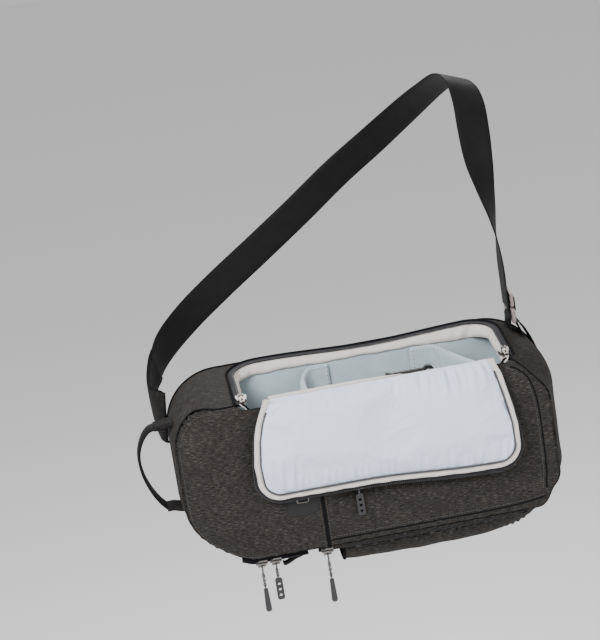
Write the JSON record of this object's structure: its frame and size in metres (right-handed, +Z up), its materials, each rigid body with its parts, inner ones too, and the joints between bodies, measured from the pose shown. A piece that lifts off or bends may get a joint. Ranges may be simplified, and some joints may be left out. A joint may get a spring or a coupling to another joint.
{
  "type": "sling camera bag",
  "caption": "Sling camera bag with an open padded side hatch, divided interior, zipped front and underside pockets, grab handle and a webbing strap that goes over the shoulder.",
  "frame": {"origin": "the underside of the strap where it rests on the wearer's shoulder", "axes": "+X along the bag from its crown end (grab handle) to its base, +Y from the front panel towards the wearer, +Z up out of the side hatch"},
  "size_m": [0.467, 0.3666, 0.5156],
  "materials": {
    "shell_cloth": "heather charcoal polyester twill with pale flecks",
    "trim_cloth": "smooth black nylon trim",
    "back_mesh": "black spacer mesh",
    "plastic_sheet": "thin stiffening sheet",
    "foam": "closed-cell padding",
    "velour": "pale grey-blue brushed velour",
    "pocket_nylon": "grey pocket nylon",
    "binding_tape": "warm pale grey binding tape",
    "zip_tape": "black zip tape and nylon coil",
    "flap_nylon": "silver-blue padded nylon",
    "slider_metal": "nickel-dark zip sliders",
    "pull_cord": "black braided cord with grey fleck",
    "pull_grip": "moulded dark grip",
    "patch_cloth": "plain black patch",
    "stretch_cloth": "stretch pocket cloth",
    "webbing": "black seat-belt webbing",
    "black_plastic": "moulded black clip",
    "gunmetal": "dark plated ring and adjuster"
  },
  "bodies": {
    "root": {"front_panel": "shell_cloth", "crown_hood": "shell_cloth", "base_hood": "shell_cloth", "underside_gusset": "shell_cloth", "rear_lip": "trim_cloth", "seam_piping": "trim_cloth", "back_panel": "back_mesh", "stiffening_sheet": "plastic_sheet", "front_padding": "foam", "back_padding": "foam", "floor_padding": "foam", "crown_padding": "foam", "base_padding": "foam", "lining_tub": "velour", "pocket_lining": "pocket_nylon", "hinge_spine": "binding_tape", "opening_binding": "binding_tape", "opening_zip": "zip_tape", "stash_zip": "zip_tape", "belly_zip": "zip_tape", "pocket_zip": "zip_tape", "placket": "trim_cloth", "blank_patch": "patch_cloth", "bottle_pocket": "stretch_cloth", "handle_tab_upper": "shell_cloth", "handle_tab_lower": "shell_cloth", "strap_ring": "gunmetal", "ring_keeper": "webbing", "anchor_gusset": "webbing", "shoulder_strap": "webbing", "strap_yoke": "shell_cloth"},
    "flap": {"flap_cover": "shell_cloth", "flap_foam": "foam", "flap_binding": "binding_tape", "flap_lining": "flap_nylon", "flap_zip": "zip_tape"},
    "hatch_slider_crown": {"hatch_slider_crown": "slider_metal"},
    "hatch_tab_crown": {"hatch_tab_crown": "slider_metal"},
    "hatch_slider_base": {"hatch_slider_base": "slider_metal"},
    "hatch_tab_base": {"hatch_tab_base": "slider_metal"},
    "stash_slider": {"stash_slider": "slider_metal"},
    "stash_pull": {"stash_pull_cord": "pull_cord", "stash_pull_grip": "pull_grip"},
    "belly_slider_outer": {"belly_slider_outer": "slider_metal"},
    "belly_pull_outer": {"belly_pull_outer_cord": "pull_cord", "belly_pull_outer_grip": "pull_grip"},
    "belly_slider_inner": {"belly_slider_inner": "slider_metal"},
    "belly_pull_inner": {"belly_pull_inner_cord": "pull_cord", "belly_pull_inner_grip": "pull_grip"},
    "pocket_slider": {"pocket_slider": "slider_metal"},
    "pocket_pull": {"pocket_pull_cord": "pull_cord", "pocket_pull_grip": "pull_grip"},
    "divider_crown": {"divider_crown": "velour"},
    "divider_base": {"divider_base": "velour"},
    "divider_shelf": {"divider_shelf": "velour", "tether_ribbon": "webbing"},
    "tether_clip": {"tether_clip": "black_plastic"},
    "grab_handle": {"grab_handle": "webbing"},
    "strap_adjuster": {"strap_adjuster": "gunmetal", "strap_end": "webbing"}
  },
  "joints": [
    {"name": "flap_hinge", "type": "hinge", "parent": "root", "child": "flap", "pos_m": [-0.166, -0.21, -0.259], "axis": [1, 0, 0], "range_deg": [-259.5, 0]},
    {"name": "hatch_slider_crown_slide", "type": "slide", "parent": "root", "child": "hatch_slider_crown", "axis": [0, 0.9969, 0.0785], "range_m": [0, 0.058]},
    {"name": "hatch_tab_crown_hinge", "type": "hinge", "parent": "hatch_slider_crown", "child": "hatch_tab_crown", "pos_m": [-0.3085, -0.19355, -0.25139], "axis": [-1, 0, 0], "range_deg": [0, 150]},
    {"name": "hatch_slider_base_slide", "type": "slide", "parent": "root", "child": "hatch_slider_base", "axis": [0, 0.9969, 0.0785], "range_m": [0, 0.058]},
    {"name": "hatch_tab_base_hinge", "type": "hinge", "parent": "hatch_slider_base", "child": "hatch_tab_base", "pos_m": [-0.021, -0.19355, -0.25139], "axis": [-1, 0, 0], "range_deg": [0, 150]},
    {"name": "stash_slider_slide", "type": "slide", "parent": "root", "child": "stash_slider", "axis": [1, 0, 0], "range_m": [0, 0.13]},
    {"name": "stash_pull_swing", "type": "hinge", "parent": "stash_slider", "child": "stash_pull", "pos_m": [-0.2005, -0.2136, -0.369], "axis": [-1, 0, 0], "range_deg": [0, 60]},
    {"name": "belly_slider_outer_slide", "type": "slide", "parent": "root", "child": "belly_slider_outer", "axis": [1, 0, 0], "range_m": [-0.019, 0]},
    {"name": "belly_pull_outer_swing", "type": "hinge", "parent": "belly_slider_outer", "child": "belly_pull_outer", "pos_m": [-0.316, -0.196, -0.4476], "axis": [-1, 0, 0], "range_deg": [-10, 75]},
    {"name": "belly_slider_inner_slide", "type": "slide", "parent": "root", "child": "belly_slider_inner", "axis": [1, 0, 0], "range_m": [0, 0.028]},
    {"name": "belly_pull_inner_swing", "type": "hinge", "parent": "belly_slider_inner", "child": "belly_pull_inner", "pos_m": [-0.3005, -0.196, -0.4476], "axis": [-1, 0, 0], "range_deg": [-10, 75]},
    {"name": "pocket_slider_slide", "type": "slide", "parent": "root", "child": "pocket_slider", "axis": [1, 0, 0], "range_m": [0, 0.205]},
    {"name": "pocket_pull_swing", "type": "hinge", "parent": "pocket_slider", "child": "pocket_pull", "pos_m": [-0.243, -0.196, -0.4476], "axis": [-1, 0, 0], "range_deg": [-10, 75]},
    {"name": "divider_crown_lift", "type": "slide", "parent": "root", "child": "divider_crown", "axis": [0, 0, 1], "range_m": [0, 0.18]},
    {"name": "divider_base_lift", "type": "slide", "parent": "root", "child": "divider_base", "axis": [0, 0, 1], "range_m": [0, 0.18]},
    {"name": "divider_shelf_lift", "type": "slide", "parent": "root", "child": "divider_shelf", "axis": [0, 0, 1], "range_m": [0, 0.16]},
    {"name": "tether_clip_lift", "type": "hinge", "parent": "divider_shelf", "child": "tether_clip", "pos_m": [-0.1452, -0.138, -0.2861], "axis": [0, -1, 0], "range_deg": [0, 70]},
    {"name": "grab_handle_swing", "type": "hinge", "parent": "root", "child": "grab_handle", "pos_m": [-0.398, -0.138, -0.334], "axis": [0, 0, 1], "range_deg": [-35, 35]},
    {"name": "strap_adjuster_slide", "type": "slide", "parent": "root", "child": "strap_adjuster", "axis": [0, 0, 1], "range_m": [0, 0.02]}
  ]
}
